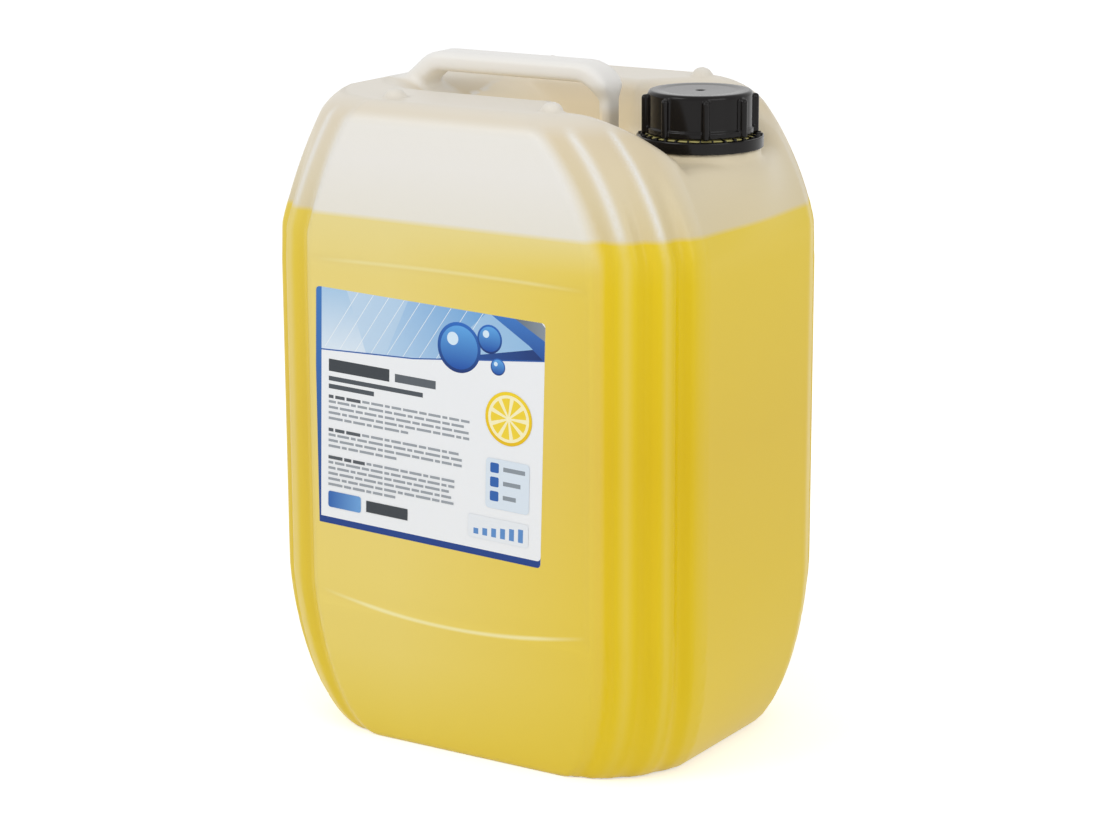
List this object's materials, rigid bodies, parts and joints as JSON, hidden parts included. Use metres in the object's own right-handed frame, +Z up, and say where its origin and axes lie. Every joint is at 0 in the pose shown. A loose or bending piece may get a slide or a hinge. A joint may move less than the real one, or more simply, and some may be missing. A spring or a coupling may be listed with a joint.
{
  "type": "dish soap jerrycan",
  "caption": "Tall natural plastic jerrycan of yellow dish soap with fluted corners, a carrying handle over a trough, a black ribbed screw cap and a front label.",
  "frame": {"origin": "centre of the footprint, on the ground", "axes": "+Z up, +X along the handle towards the neck, -Y out of the label face"},
  "size_m": [0.292, 0.22, 0.411],
  "materials": {
    "can_plastic": "satin, translucent natural polyethylene",
    "liquid": "clear yellow liquid",
    "closure_plastic": "glossy",
    "liner_foam": "matte",
    "label_film": "semi-gloss printed film"
  },
  "bodies": {
    "can": {"canister": "can_plastic", "detergent": "liquid", "tamper_ring": "closure_plastic", "label": "label_film"},
    "closure_lift": {"cap_liner": "liner_foam"},
    "closure": {"cap": "closure_plastic"}
  },
  "joints": [
    {"name": "cap_lift", "type": "slide", "parent": "can", "child": "closure_lift", "axis": [0, 0, 1], "range_m": [0, 0.022]},
    {"name": "cap_turn", "type": "hinge", "parent": "closure_lift", "child": "closure", "pos_m": [0.105, 0, 0.385], "axis": [0, 0, 1], "range_deg": [0, 1260]}
  ],
  "couplings": [
    {"joint": "cap_lift", "follows": "cap_turn", "m_per_rad": 0.00095493}
  ]
}
